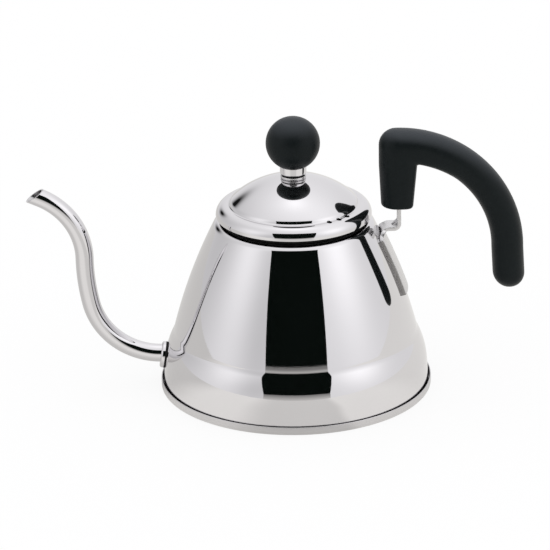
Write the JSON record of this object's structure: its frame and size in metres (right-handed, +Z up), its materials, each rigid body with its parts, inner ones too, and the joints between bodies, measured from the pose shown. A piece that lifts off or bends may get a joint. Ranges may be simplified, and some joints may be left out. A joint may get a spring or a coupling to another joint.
{
  "type": "gooseneck kettle",
  "caption": "Polished stainless drip kettle with a thin gooseneck spout, a lift-off domed lid with a ball knob and steam holes, and a black hooked grip on a strip bracket.",
  "frame": {"origin": "on the axis of the body, in the plane the kettle stands on", "axes": "+Z up along the body's axis, +X towards the grip, -X towards the spout"},
  "size_m": [0.2822, 0.155, 0.1603],
  "materials": {
    "polished_steel": "mirror-polished stainless steel",
    "base_steel": "satin stainless steel with fine turning marks",
    "bracket_steel": "polished strip with drawn edges",
    "fastener_steel": "plain stainless fastener",
    "brass": "turned brass insert",
    "black_phenolic": "matte black phenolic with a faint grain"
  },
  "bodies": {
    "kettle": {"body_shell": "polished_steel", "mouth_ring": "polished_steel", "base_pan": "base_steel", "spout_tube": "polished_steel", "spout_collar": "polished_steel", "handle_bracket": "bracket_steel", "grip": "black_phenolic", "grip_screw": "fastener_steel", "grip_spring_washer": "fastener_steel", "grip_insert": "brass"},
    "lid": {"lid_shell": "polished_steel", "lid_collar": "polished_steel", "knob_ball": "black_phenolic", "knob_insert": "brass", "knob_ferrule": "polished_steel", "knob_spacer": "polished_steel", "knob_screw": "fastener_steel", "knob_spring_washer": "fastener_steel", "knob_flat_washer": "fastener_steel"}
  },
  "joints": [
    {"name": "lid_lift", "type": "slide", "parent": "kettle", "child": "lid", "axis": [0, 0, 1], "range_m": [0, 0.08]}
  ]
}
